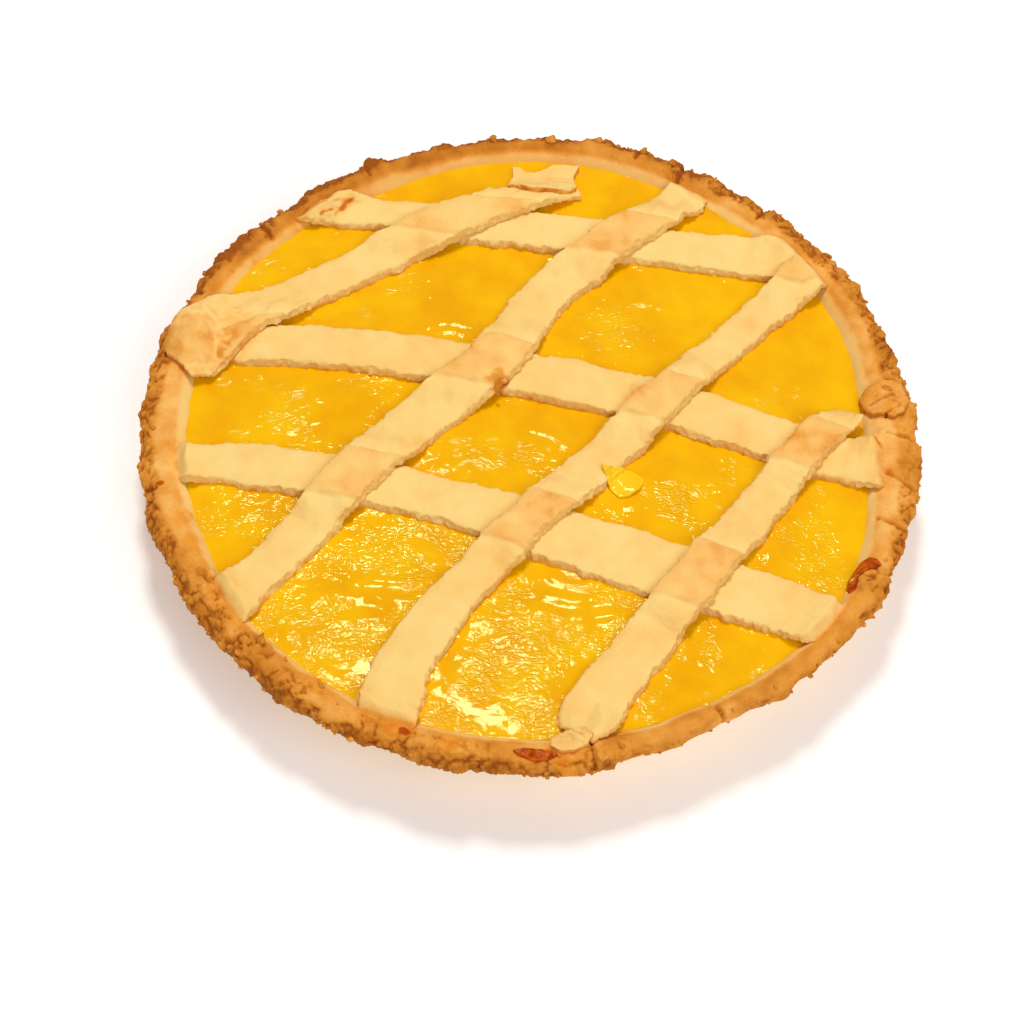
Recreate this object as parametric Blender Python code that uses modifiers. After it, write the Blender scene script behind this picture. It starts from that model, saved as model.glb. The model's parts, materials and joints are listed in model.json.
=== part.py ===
"""Lemon tart: a shortcrust case filled with lemon curd, under a lattice of dough strips.

Run it with blender --background --python part.py, or from Blender's text editor.
The tart stands on z = 0 with +Z up. Its origin is the middle of its flat underside,
and -Y is its front. Sizes below are in millimetres, and MM turns them to metres.
"""

import math

import bmesh
import bpy
from mathutils import Vector, noise

MM = 0.001

# The case: a sloping wall from a flat base up to a rounded, crumbly rim.
RIM_RADIUS = 135.0
BASE_RADIUS = 118.5
HEIGHT = 31.0
FLOOR_THICKNESS = 5.0
RIM_STEPS = 168
RIM_WAVE = 1.2
RIM_WAVE_LENGTH = 42.0
CRAG_DEPTH = 2.6
CRAG_LENGTH = 10.0

# The rim and the curd's edge aren't quite round. These radii start at +X and go round
# through the back in even steps.
RIM_RADII = (135, 135.5, 138, 137.5, 135.5, 136, 136, 135, 134.5, 134.5, 131.5, 134.5)
CURD_RADII = (116, 121.5, 123.5, 127, 123.5, 124, 119, 119.5, 121, 121, 121.5, 122.5)

# The curd fills the case up to a level a little under the rim.
CURD_RADIUS = 122.0
CURD_FLOOR_RADIUS = 111.0
CURD_LEVEL = 25.5
WALL_TOP = 26.5
CURD_CELLS = 28
CURD_RELIEF = 0.35
CURD_RELIEF_LENGTH = 30.0

# The dough strips. Where one crosses another it rides over it and sinks back to the curd.
STRIP_THICKNESS = 4.2
STRIP_STEP = 7.0
STRIP_ROWS = 4
STRIP_END_SHARE = 0.42
STRIP_END_LENGTH = 15.0
END_ROUNDING = 5.0
END_NARROWING = 0.3
EDGE_SLANT = 0.9
EDGE_DROP = 0.7
EDGE_WANDER = 0.9
EDGE_WANDER_LENGTH = 13.0
PRESS_DEPTH = 1.5
PRESS_WIDTH = 11.0
RIDE_MARGIN = 2.5
RIDE_RAMP = 8.5
WALL_RAMP = 8.0
RIM_SHOULDER = 5.0
RIM_SHOULDER_DROP = 1.6
EDGE_KEPT = 1.0
GAP = 0.4
CROSSING_GAP = 0.4

# Each strip passes through these points: x, y and its width there.
LOWER_STRIPS = {
    "lower_strip_1": [(-90, 97, 15), (-68, 97, 14), (0, 91, 18), (60, 84, 18), (105, 77, 19)],
    "lower_strip_2": [
        (-110, 31, 14), (-80, 34, 18), (-20, 28, 19), (45, 14, 20), (90, -2, 19), (128, -14, 19),
    ],
    "lower_strip_3": [
        (-138, -22, 11), (-95, -19, 18), (-30, -30, 19), (30, -50, 24), (80, -67, 22), (105, -76, 21),
    ],
}
UPPER_STRIPS = {
    "upper_strip_1": [
        (-127, 25, 36), (-108, 42, 23), (-80, 60, 16), (-35, 90, 18), (-5, 105, 14), (16, 111, 7),
    ],
    "upper_strip_2": [
        (-103, -83, 18), (-76, -46.5, 17), (-45, -4, 20), (-14, 28, 20), (2, 58, 19), (26, 83, 17),
        (60, 113, 17),
    ],
    "upper_strip_3": [
        (-45, -124, 21), (-37, -92, 20), (-12, -54, 16), (30, -5, 17), (65, 37, 15), (104, 78, 17),
    ],
    "upper_strip_4": [(17, -120, 22), (37, -88, 19), (71.5, -39, 17), (99, 0, 14.5), (113, 11, 14)],
}
STRIPS = {**LOWER_STRIPS, **UPPER_STRIPS}
LYING_UNDER = {
    **{name: () for name in LOWER_STRIPS},
    **{name: tuple(LOWER_STRIPS) for name in UPPER_STRIPS},
}

# Loose scraps: middle x, y, length, width, thickness, turn in degrees, and what they lie on.
SCRAPS = {
    "strip_patch": (0.5, 117.5, 27, 16, 3.6, 3, ("upper_strip_1",)),
    "rim_scrap": (126, 18.5, 15, 12.5, 3.4, 60, ()),
    "strip_end_knob": (15.5, -124.5, 14, 7, 3.0, 4, ("upper_strip_4",)),
    "curd_flake": (33, -19.5, 15, 8.5, 1.1, -48, ("upper_strip_3",)),
    "baked_curd_right": (111.5, -55, 11, 7, 1.4, 62, ()),
    "baked_curd_front": (4, -129.5, 13, 3.2, 1.1, 3, ()),
}
SCRAP_CELLS = {
    "strip_patch": (8, 6),
    "rim_scrap": (6, 6),
    "strip_end_knob": (6, 4),
    "curd_flake": (8, 4),
    "baked_curd_right": (6, 4),
    "baked_curd_front": (8, 2),
}
SCRAP_LUMPS = 8.0
FLAKE_CURL = 1.6

CRUST_BROWN = (0.62, 0.31, 0.10)
DOUGH_PALE = (0.86, 0.58, 0.26)
CURD_YELLOW = (0.90, 0.50, 0.01)
BAKED_CURD_RED = (0.45, 0.06, 0.01)


def smooth(share):
    """0 below 0, 1 above 1, and an even S-curve between them."""
    share = min(max(share, 0.0), 1.0)
    return share * share * (3 - 2 * share)


def ripple(x, y, length, seed):
    """Even noise from about -1 to 1 with features about `length` across."""
    return 1.8 * noise.noise(Vector((x / length, y / length, seed)))


def curve_between(before, start, end, after, t):
    """A point of the smooth curve from start to end, which heads for the points around them."""
    return 0.5 * (
        2 * start
        + t * (end - before)
        + t**2 * (2 * before - 5 * start + 4 * end - after)
        + t**3 * (3 * start - before - 3 * end + after)
    )


# The rim and the curd, as heights and radii round the tart.


def radius_round(radii, angle):
    """The radius at an angle, on a smooth curve through radii at even steps."""
    steps = (angle / (2 * math.pi)) % 1 * len(radii)
    k = int(steps)
    around = [radii[(k + i) % len(radii)] for i in (-1, 0, 1, 2)]
    return curve_between(*around, steps - k)


def curd_radius(angle):
    return radius_round(CURD_RADII, angle)


def rim_radius(angle):
    return radius_round(RIM_RADII, angle)


def wall_radius(angle, z):
    """The radius of the case's inner wall, which slopes, at the height z."""
    share = (WALL_TOP - z) / (WALL_TOP - FLOOR_THICKNESS)
    return curd_radius(angle) - share * (CURD_RADIUS - CURD_FLOOR_RADIUS)


def curd_height(x, y):
    return CURD_LEVEL + CURD_RELIEF * ripple(x, y, CURD_RELIEF_LENGTH, 4.0)


def strip_end_angles():
    """Where on the rim the strips' ends are pressed down."""
    ends = [route[i] for route in STRIPS.values() for i in (0, -1)]
    return [math.atan2(y, x) for x, y, _ in ends if math.hypot(x, y) > CURD_RADIUS - 6]


END_ANGLES = strip_end_angles()


def pressed(angle):
    """1 in the middle of a pressed strip end, and 0 well away from one."""
    nearest = min(abs(math.remainder(angle - end, 2 * math.pi)) for end in END_ANGLES)
    return math.exp(-((RIM_RADIUS * nearest / PRESS_WIDTH) ** 2))


def rim_rise(angle):
    """How far the rim's top stands above HEIGHT, in waves, with a dip under each strip end."""
    x, y = RIM_RADIUS * math.cos(angle), RIM_RADIUS * math.sin(angle)
    return RIM_WAVE * ripple(x, y, RIM_WAVE_LENGTH, 1.0) - PRESS_DEPTH * pressed(angle)


def bed_height(x, y):
    """The height of the curd and, past its edge, of the rim's top and its rounded shoulder."""
    radius, angle = math.hypot(x, y), math.atan2(y, x)
    on_rim = smooth((radius - curd_radius(angle) + 0.75 * WALL_RAMP) / WALL_RAMP)
    over = max(0.0, radius - rim_radius(angle) + RIM_SHOULDER) / RIM_SHOULDER
    rim = HEIGHT + rim_rise(angle) - RIM_SHOULDER_DROP * over**2
    return (1 - on_rim) * curd_height(x, y) + on_rim * rim


def kept_on_rim(x, y):
    """Draws a point that would overhang the rim back to just inside its outer edge."""
    radius, angle = math.hypot(x, y), math.atan2(y, x)
    limit = rim_radius(angle) - EDGE_KEPT
    past = (radius - limit) / RIM_SHOULDER + 1
    if past > 0:
        radius = limit - RIM_SHOULDER * math.exp(-past)
    return radius * math.cos(angle), radius * math.sin(angle)


# The strips' routes, and how they lie over each other.


def spline(route, pieces=24):
    """A smooth line of (x, y, width) points through the route's own points."""
    points = [Vector(p) for p in route]
    points = [2 * points[0] - points[1], *points, 2 * points[-1] - points[-2]]
    line = []
    for around in zip(points, points[1:], points[2:], points[3:]):
        line += [curve_between(*around, k / pieces) for k in range(pieces)]
    return [*line, points[-2]]


def lengths_along(line):
    """The distance from the line's start to each of its points."""
    totals = [0.0]
    for a, b in zip(line, line[1:]):
        totals.append(totals[-1] + (b.xy - a.xy).length)
    return totals


LINES = {name: spline(route) for name, route in STRIPS.items()}
LENGTHS = {name: lengths_along(line) for name, line in LINES.items()}


def place_on(name, distance):
    """(point, direction, width) at a distance along a strip's middle line."""
    line, totals = LINES[name], LENGTHS[name]
    k = next((i for i in range(len(line) - 2) if totals[i + 1] >= distance), len(line) - 2)
    share = (distance - totals[k]) / (totals[k + 1] - totals[k])
    point = line[k].lerp(line[k + 1], share)
    return point.xy, (line[k + 1].xy - line[k].xy).normalized(), point.z


def nearest_on(name, x, y):
    """(how far outside the strip's edge a point lies, how far along it is)."""
    here = Vector((x, y))
    k = min(range(len(LINES[name])), key=lambda i: (LINES[name][i].xy - here).length_squared)
    point = LINES[name][k]
    return (point.xy - here).length - point.z / 2, LENGTHS[name][k]


def to_nearer_end(name, distance):
    return min(distance, LENGTHS[name][-1] - distance)


def strip_thickness(name, distance):
    """Full in the middle of a strip, and pressed thin at both ends."""
    whole = smooth(to_nearer_end(name, distance) / STRIP_END_LENGTH)
    return STRIP_THICKNESS * (STRIP_END_SHARE + (1 - STRIP_END_SHARE) * whole)


def support_height(x, y, under):
    """The height that a piece rests on: the curd or rim, or the strips that lie under it."""
    bed = bed_height(x, y)
    height = bed
    for name in under:
        outside, distance = nearest_on(name, x, y)
        if outside > RIDE_MARGIN + RIDE_RAMP:
            continue
        top = support_height(x, y, LYING_UNDER[name]) + GAP + strip_thickness(name, distance)
        top += CROSSING_GAP
        share = 1 - smooth((outside - RIDE_MARGIN) / RIDE_RAMP)
        height = max(height, bed + share * (top - bed))
    return height


# Blender objects.


def material(name, colour, roughness):
    made = bpy.data.materials.new(name)
    made.use_nodes = True
    shader = made.node_tree.nodes["Principled BSDF"]
    shader.inputs["Base Color"].default_value = (*colour, 1)
    shader.inputs["Roughness"].default_value = roughness
    shader.inputs["Metallic"].default_value = 0.0
    made.diffuse_color = (*colour, 1)
    return made


def add_object(name, mesh, collection, finish):
    made = bpy.data.objects.new(name, mesh)
    made.data.materials.append(finish)
    collection.objects.link(made)
    made.data.shade_smooth()


def slab_mesh(name, columns, rows, place):
    """A closed slab from a cube cut into columns and rows. place(u, v, top) gives each corner
    in millimetres, for u from 0 to 1 along the slab and v from -1 to 1 across it."""
    shape = bmesh.new()
    bmesh.ops.create_cube(shape, size=2)
    for axis, cells in ((0, columns), (1, rows)):
        edges = [e for e in shape.edges if abs(e.verts[0].co[axis] - e.verts[1].co[axis]) > 1]
        bmesh.ops.subdivide_edges(shape, edges=edges, cuts=cells - 1, use_grid_fill=True)
    for vert in shape.verts:
        x, y, z = vert.co
        vert.co = Vector(place((x + 1) / 2, y, z > 0)) * MM
    mesh = bpy.data.meshes.new(name)
    bmesh.ops.recalc_face_normals(shape, faces=shape.faces)
    shape.to_mesh(mesh)
    shape.free()
    return mesh


def disc_point(u, v):
    """A point of a square from -1 to 1, drawn out to a disc of radius 1."""
    return u * math.sqrt(1 - v * v / 2), v * math.sqrt(1 - u * u / 2)


def crust_profile():
    """The case's section, as (radius, height), from the middle of its floor over the rim
    and down the outer wall to the middle of its underside."""
    return [
        (0, FLOOR_THICKNESS),
        (CURD_FLOOR_RADIUS, FLOOR_THICKNESS),
        (CURD_RADIUS, WALL_TOP),
        (CURD_RADIUS + 2.0, HEIGHT - 2.2),
        (CURD_RADIUS + 4.5, HEIGHT - 0.5),
        (CURD_RADIUS + 7.5, HEIGHT),
        (RIM_RADIUS - 2.5, HEIGHT - 0.5),
        (RIM_RADIUS - 0.4, HEIGHT - 2.2),
        (RIM_RADIUS, HEIGHT - 4.6),
        (RIM_RADIUS - 1.0, HEIGHT - 7.0),
        (RIM_RADIUS - 4.0, HEIGHT - 10.0),
        (0.5 * (RIM_RADIUS + BASE_RADIUS) - 2.5, 0.4 * HEIGHT),
        (BASE_RADIUS + 0.8, 1.6),
        (BASE_RADIUS - 1.2, 0),
        (0, 0),
    ]


def baked_place(x, y, z):
    """Moves a point of the evenly turned case to where baking and hand work left it."""
    radius, angle = math.hypot(x, y), math.atan2(y, x)
    outer = BASE_RADIUS + (RIM_RADIUS - BASE_RADIUS) * min(z / (HEIGHT - 5), 1)
    inward = smooth((outer - radius) / (0.6 * (RIM_RADIUS - CURD_RADIUS)))
    wall_share = inward * smooth((radius - 0.5 * CURD_RADIUS) / (0.3 * CURD_RADIUS))
    side_share = (1 - inward) * smooth((z - 0.2 * HEIGHT) / (0.5 * HEIGHT))
    top_share = smooth((z - CURD_LEVEL) / (HEIGHT - 1.5 - CURD_LEVEL))
    crag = abs(ripple(x + 2 * z, y - 2 * z, CRAG_LENGTH, 7.0)) - 0.45
    free = 1 - 0.85 * pressed(angle)
    radius += wall_share * (curd_radius(angle) - CURD_RADIUS)
    radius += side_share * (rim_radius(angle) - RIM_RADIUS + CRAG_DEPTH * crag * free)
    z += top_share * rim_rise(angle)
    return radius * math.cos(angle), radius * math.sin(angle), z


def add_crust(collection, finish):
    """The pastry case: the section turned by a Screw modifier, then made uneven."""
    profile = bpy.data.meshes.new("crust_profile")
    points = [(r * MM, 0, z * MM) for r, z in crust_profile()]
    profile.from_pydata(points, [(i, i + 1) for i in range(len(points) - 1)], [])
    turned = bpy.data.objects.new("crust_profile", profile)
    collection.objects.link(turned)
    screw = turned.modifiers.new("turn", "SCREW")
    screw.steps = screw.render_steps = RIM_STEPS
    screw.use_merge_vertices = True
    screw.merge_threshold = 0.00005
    graph = bpy.context.evaluated_depsgraph_get()
    mesh = bpy.data.meshes.new_from_object(turned.evaluated_get(graph))
    bpy.data.objects.remove(turned)
    mesh.name = "crust"
    for vert in mesh.vertices:
        vert.co = Vector(baked_place(*(vert.co / MM))) * MM
    add_object("crust", mesh, collection, finish)


def curd_place(u, v, top):
    """A corner of the curd, a disc that fits inside the case's sloping wall."""
    x, y = disc_point(2 * u - 1, v)
    share, angle = math.hypot(x, y), math.atan2(y, x)
    level = CURD_LEVEL - CURD_RELIEF if top else FLOOR_THICKNESS
    radius = share * (wall_radius(angle, level) - GAP)
    x, y = radius * math.cos(angle), radius * math.sin(angle)
    return x, y, curd_height(x, y) if top else FLOOR_THICKNESS + GAP


def add_strip(name, collection, finish):
    """A ribbon of dough along its route, resting on what lies under it."""
    length = LENGTHS[name][-1]
    seed = 3.0 * list(STRIPS).index(name)

    def place(u, v, top):
        distance = u * length
        point, direction, width = place_on(name, distance)
        to_end = min(to_nearer_end(name, distance) / END_ROUNDING, 1)
        width *= 1 - END_NARROWING * (1 - to_end) ** 2
        wander = EDGE_WANDER * ripple(distance, 40 * v, EDGE_WANDER_LENGTH, seed)
        across = math.copysign(abs(v) ** 0.6, v)
        reach = across * (0.5 * width + wander * abs(v) - (EDGE_SLANT if top else 0))
        x, y = kept_on_rim(*(point + reach * Vector((-direction.y, direction.x))))
        height = support_height(x, y, LYING_UNDER[name]) + GAP
        if top:
            height += strip_thickness(name, distance) - EDGE_DROP * v**4
        return x, y, height

    columns = round(length / STRIP_STEP)
    add_object(name, slab_mesh(name, columns, STRIP_ROWS, place), collection, finish)


def scrap_size(name, angle):
    """How far a scrap's outline reaches at an angle, as a share of its half length or width."""
    if name == "strip_patch":
        notch = math.exp(-(((angle - 1.75) / 0.32) ** 2))
        return 1 + 0.16 * math.sin(2 * angle) ** 2 - 0.3 * notch
    if name == "curd_flake":
        return 1 - 0.25 * math.cos(2 * angle) ** 2
    return 1 + 0.08 * math.sin(3 * angle + len(name))


def add_scrap(name, collection, finish):
    """A small flat lump of dough or curd that follows what it lies on."""
    x0, y0, length, width, thickness, turn, under = SCRAPS[name]
    cos, sin = math.cos(math.radians(turn)), math.sin(math.radians(turn))

    def place(u, v, top):
        u = 2 * u - 1
        x, y = disc_point(u, v)
        size = scrap_size(name, math.atan2(y, x)) * (0.9 if top else 1.0)
        x, y = x * size * length / 2, y * size * width / 2
        x, y = kept_on_rim(x0 + x * cos - y * sin, y0 + x * sin + y * cos)
        height = support_height(x, y, under) + GAP
        if name == "curd_flake":
            height += FLAKE_CURL * smooth(1.5 * abs(v))
        if top:
            middle = 1 - max(abs(u), abs(v)) ** 3
            lump = 1 + 0.15 * ripple(x, y, SCRAP_LUMPS, len(name))
            height += thickness * (0.55 + 0.45 * middle) * lump
        return x, y, height

    add_object(name, slab_mesh(name, *SCRAP_CELLS[name], place), collection, finish)


def main():
    for obj in list(bpy.data.objects):
        bpy.data.objects.remove(obj)
    tart = bpy.data.collections.new("lemon_tart")
    bpy.context.scene.collection.children.link(tart)
    browned = material("browned_shortcrust", CRUST_BROWN, 0.75)
    pale = material("pale_shortcrust", DOUGH_PALE, 0.7)
    curd = material("lemon_curd", CURD_YELLOW, 0.15)
    baked_curd = material("baked_curd", BAKED_CURD_RED, 0.3)

    add_crust(tart, browned)
    add_object("curd", slab_mesh("curd", CURD_CELLS, CURD_CELLS, curd_place), tart, curd)
    for name in STRIPS:
        add_strip(name, tart, pale)
    add_scrap("strip_patch", tart, pale)
    add_scrap("strip_end_knob", tart, pale)
    add_scrap("rim_scrap", tart, browned)
    add_scrap("curd_flake", tart, curd)
    add_scrap("baked_curd_right", tart, baked_curd)
    add_scrap("baked_curd_front", tart, baked_curd)


main()
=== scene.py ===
"""Lemon tart: the baked crust, the glossy curd and the dough lattice, dressed over the solid model.

Everything here is in metres, in the model's own frame: +Z up, the tart's front towards -Y.
Rules that shape a surface work in millimetres, and MM turns their results to metres.
"""

import json
import math
import random

import bpy
from bpy.props import FloatProperty, FloatVectorProperty, IntProperty, PointerProperty
from mathutils import Matrix, Vector, noise
from mathutils.bvhtree import BVHTree

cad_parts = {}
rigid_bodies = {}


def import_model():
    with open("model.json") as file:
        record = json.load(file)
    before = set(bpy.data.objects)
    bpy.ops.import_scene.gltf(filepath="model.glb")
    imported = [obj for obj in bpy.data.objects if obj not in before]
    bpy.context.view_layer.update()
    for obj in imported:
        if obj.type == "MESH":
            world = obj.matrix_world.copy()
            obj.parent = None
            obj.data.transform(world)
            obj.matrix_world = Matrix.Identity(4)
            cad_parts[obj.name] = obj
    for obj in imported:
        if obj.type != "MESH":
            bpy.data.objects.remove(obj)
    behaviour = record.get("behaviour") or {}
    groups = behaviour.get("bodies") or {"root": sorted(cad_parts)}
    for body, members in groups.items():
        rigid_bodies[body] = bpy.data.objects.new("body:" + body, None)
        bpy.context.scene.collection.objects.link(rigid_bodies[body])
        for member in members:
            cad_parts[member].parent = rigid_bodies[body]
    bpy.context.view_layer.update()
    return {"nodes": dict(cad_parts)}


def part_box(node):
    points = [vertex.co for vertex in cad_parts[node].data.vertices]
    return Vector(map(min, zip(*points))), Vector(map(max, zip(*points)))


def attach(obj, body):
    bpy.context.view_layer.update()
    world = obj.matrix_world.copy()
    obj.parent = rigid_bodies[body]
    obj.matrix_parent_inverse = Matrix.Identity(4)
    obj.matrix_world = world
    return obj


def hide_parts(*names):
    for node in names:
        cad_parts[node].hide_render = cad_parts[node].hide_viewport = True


bl_info = {
    "name": "Lemon tart",
    "version": (1, 0, 0),
    "blender": (4, 5, 0),
    "location": "View3D > Sidebar > Lemon tart",
    "description": "Dresses a lattice-topped lemon tart and sets up a plain studio around it",
    "category": "Object",
}

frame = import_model()

MM = 0.001
LOWER_STRIPS = ["lower_strip_1", "lower_strip_2", "lower_strip_3"]
UPPER_STRIPS = ["upper_strip_1", "upper_strip_2", "upper_strip_3", "upper_strip_4"]
CURD_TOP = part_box("curd")[1].z / MM - 0.3
RIM_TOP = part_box("crust")[1].z / MM - 1.5

DOWN = Vector((0, 0, -1))
ABOVE = 60               # a height over the whole tart, in mm
OUTSIDE = 160            # a radius beyond the whole tart, in mm
WALL_SHIFT = 0.37        # keeps the wall's rays off the edges of the model, in steps
STRIP_REACH = 9.0        # how far a crossing bears on the strip over it, in mm
CURD_REACH = 6.0         # how far out a strip's edge bears on the curd, in mm
UNDERSIDE = 0.0001       # points lower than this are on the flat underside, in metres
FLOOR_SIZE = 6.0         # in metres


def linear(code):
    """An sRGB hex colour as linear red, green, blue and alpha."""
    parts = [int(code[i : i + 2], 16) / 255 for i in (0, 2, 4)]
    return (*[c / 12.92 if c <= 0.04045 else ((c + 0.055) / 1.055) ** 2.4 for c in parts], 1.0)


# Shapes of numbers.


def smooth(share):
    """0 below 0, 1 above 1, and an even S-curve between them."""
    share = min(max(share, 0.0), 1.0)
    return share * share * (3 - 2 * share)


def lumps(place, size, seed=0.0):
    """Even noise, about -1 to 1, in lumps of this size in mm."""
    return 1.6 * noise.noise(place / size + Vector((seed, 2.3 * seed, -seed)))


def chunk(place, size, seed=0.0):
    """For the crumb of about this size in mm that holds a place: its own lift, -1 to 1, and how
    far inside it the place is, 0 at its edge and 1 well inside."""
    distances, points = noise.voronoi(place / size + Vector((seed, 2.3 * seed, -seed)))
    return 1.6 * noise.noise(points[0] * 3.7), min(2.2 * (distances[1] - distances[0]), 1.0)


def crags(place, size, seed=0.0):
    """Rounded lumps of this size in mm with sharp creases between them: 0 in a crease, and
    about 0.8 on top of a lump."""
    return noise.turbulence(place / size + Vector((seed, 2.3 * seed, -seed)), 3, True)


def spot_share(spots, place):
    """The strongest of some spots at a place, each an x, y, radius in mm and a strength."""
    found = 0.0
    for x, y, radius, strength in spots:
        off = math.hypot(place.x - x, place.y - y) / radius
        if off < 1.6:
            off += 0.35 * lumps(place, 2.2, 5.0)
            found = max(found, strength * smooth(1.2 * (1.2 - off)))
    return found


def dot_depth(place, spacing, radius, seed=0.0):
    """1 in the middle of scattered dots, and 0 outside their radius, in mm."""
    distance = spacing * noise.voronoi(place / spacing + Vector((seed, -seed, seed)))[0][0]
    return smooth(1 - distance / radius)


# Pieces and their meshes.


def pick(*pieces):
    """Selects these pieces and nothing else, and makes the last one active."""
    bpy.ops.object.select_all(action="DESELECT")
    for piece in pieces:
        piece.select_set(True)
    bpy.context.view_layer.objects.active = pieces[-1]


def edit(piece, mode="VERT"):
    """Opens a piece in edit mode with nothing selected."""
    pick(piece)
    bpy.ops.object.mode_set(mode="EDIT")
    bpy.ops.mesh.select_mode(type=mode)
    bpy.ops.mesh.select_all(action="DESELECT")


def leave_edit():
    """Goes back to object mode."""
    bpy.ops.object.mode_set(mode="OBJECT")


def copy_node(node, name):
    """A copy of a solid of the model as a new piece, its loose triangles merged to one skin."""
    piece = bpy.data.objects.new(name, frame["nodes"][node].data.copy())
    bpy.context.scene.collection.objects.link(piece)
    piece.data.materials.clear()
    edit(piece)
    bpy.ops.mesh.select_all(action="SELECT")
    bpy.ops.mesh.remove_doubles(threshold=0.000001)
    bpy.ops.mesh.customdata_custom_splitnormals_clear()
    leave_edit()
    return piece


def modify(piece, kind, **settings):
    """Adds a modifier with these settings and applies it."""
    pick(piece)
    made = piece.modifiers.new(kind.lower(), kind)
    for key, value in settings.items():
        setattr(made, key, value)
    bpy.ops.object.modifier_apply(modifier=made.name)


def paint(piece, name, values):
    """Writes a value for each point of a piece, for its material to read."""
    mesh = piece.data
    if name not in mesh.attributes:
        mesh.attributes.new(name, "FLOAT", "POINT")
    mesh.attributes[name].data.foreach_set("value", values)


def sculpt(piece, rule):
    """Moves every point by a rule, which takes a place in mm and a normal and gives the new
    place, how browned the surface is there with any painted shade, and how much curd leaked onto it, from
    0 to 1."""
    mesh = piece.data
    # browned holds the tone from baking together with the painted shade that the rules add.
    browned, leaked = [], []
    for vert, normal in [(v, v.normal.copy()) for v in mesh.vertices]:
        place, shade, leak = rule(vert.co / MM, normal)
        vert.co = place * MM
        browned.append(min(max(shade, 0.0), 1.0))
        leaked.append(leak)
    paint(piece, "browning_and_shade", browned)
    paint(piece, "leaked", leaked)
    mesh.update()


def finish_piece(piece, finish, nodes=()):
    """Gives a piece its finish and its place in the tart."""
    piece.data.materials.clear()
    piece.data.materials.append(finish)
    pick(piece)
    bpy.ops.object.shade_smooth()
    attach(piece, "root")
    if nodes:
        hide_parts(*nodes)


def plan_tree(nodes):
    """A search tree of solids of the model, seen from above and laid flat."""
    points, faces = [], []
    for node in nodes:
        mesh = frame["nodes"][node].data
        start = len(points)
        points += [Vector((v.co.x / MM, v.co.y / MM, 0)) for v in mesh.vertices]
        faces += [[start + i for i in face.vertices] for face in mesh.polygons]
    return BVHTree.FromPolygons(points, faces)


def plan_distance(tree, place, reach):
    """How far a place is from the outline of what lies in a plan tree, up to reach, in mm."""
    found = tree.find_nearest(Vector((place.x, place.y, 0)), reach)
    return reach if found[3] is None else found[3]


def surface_tree(pieces):
    """A search tree of finished pieces, in mm."""
    points, faces = [], []
    for piece in pieces:
        start = len(points)
        points += [v.co / MM for v in piece.data.vertices]
        faces += [[start + i for i in face.vertices] for face in piece.data.polygons]
    return BVHTree.FromPolygons(points, faces)


def wall_table(steps=720):
    """How far the case's inner wall is from the middle at the curd's level, in mm, at even
    angles round the tart."""
    mesh = frame["nodes"]["crust"].data
    tree = BVHTree.FromPolygons(
        [v.co / MM for v in mesh.vertices], [face.vertices[:] for face in mesh.polygons]
    )
    level = Vector((0, 0, CURD_TOP))
    turns = [2 * math.pi * (k + WALL_SHIFT) / steps for k in range(steps)]
    return [tree.ray_cast(level, Vector((math.cos(a), math.sin(a), 0)))[3] for a in turns]


WALL = wall_table()


def wall_radius(place):
    """How far the case's inner wall is from the middle in a place's direction, in mm."""
    step = math.atan2(place.y, place.x) / (2 * math.pi) * len(WALL) - WALL_SHIFT
    k = math.floor(step)
    low, high = WALL[k % len(WALL)], WALL[(k + 1) % len(WALL)]
    return low + (step - k) * (high - low)


# Materials.


def add(tree, kind, inputs=None, stops=None, **settings):
    """Adds a node. Each input is a value or another node's output, and stops fill a ramp."""
    made = tree.nodes.new(kind)
    for key, value in settings.items():
        setattr(made, key, value)
    for key, value in (inputs or {}).items():
        if isinstance(value, bpy.types.NodeSocket):
            tree.links.new(value, made.inputs[key])
        else:
            made.inputs[key].default_value = value
    if stops:
        ramp = made.color_ramp.elements
        while len(ramp) < len(stops):
            ramp.new(0.5)
        for element, (position, colour) in zip(ramp, stops):
            element.position = position
            element.color = colour
    return made


def new_material(name, **shader_values):
    """A material with its shader's own values set, and the object's coordinates."""
    made = bpy.data.materials.new(name)
    made.use_nodes = True
    tree = made.node_tree
    shader = tree.nodes["Principled BSDF"]
    for key, value in shader_values.items():
        shader.inputs[key.replace("_", " ")].default_value = value
    place = add(tree, "ShaderNodeTexCoord").outputs["Object"]
    return made, tree, shader, place


def noise_of(tree, place, size_mm, detail=3.0, roughness=0.55, distortion=0.0):
    """Noise from 0 to 1 with features of this size in mm."""
    inputs = {"Vector": place, "Scale": 1 / (size_mm * MM), "Detail": detail}
    inputs.update({"Roughness": roughness, "Distortion": distortion})
    return add(tree, "ShaderNodeTexNoise", inputs).outputs["Fac"]


def math_of(tree, operation, *values):
    """The result of a calculation on values or other nodes' outputs."""
    made = add(tree, "ShaderNodeMath", dict(enumerate(values)), operation=operation)
    return made.outputs[0]


def bump_of(tree, shader, layers):
    """Fine relief in layers: each a height from 0 to 1, its depth in mm and its strength."""
    normal = None
    for height, depth, strength in layers:
        inputs = {"Height": height, "Distance": depth * MM, "Strength": strength}
        if normal:
            inputs["Normal"] = normal
        normal = add(tree, "ShaderNodeBump", inputs).outputs["Normal"]
    tree.links.new(normal, shader.inputs["Normal"])


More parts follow.
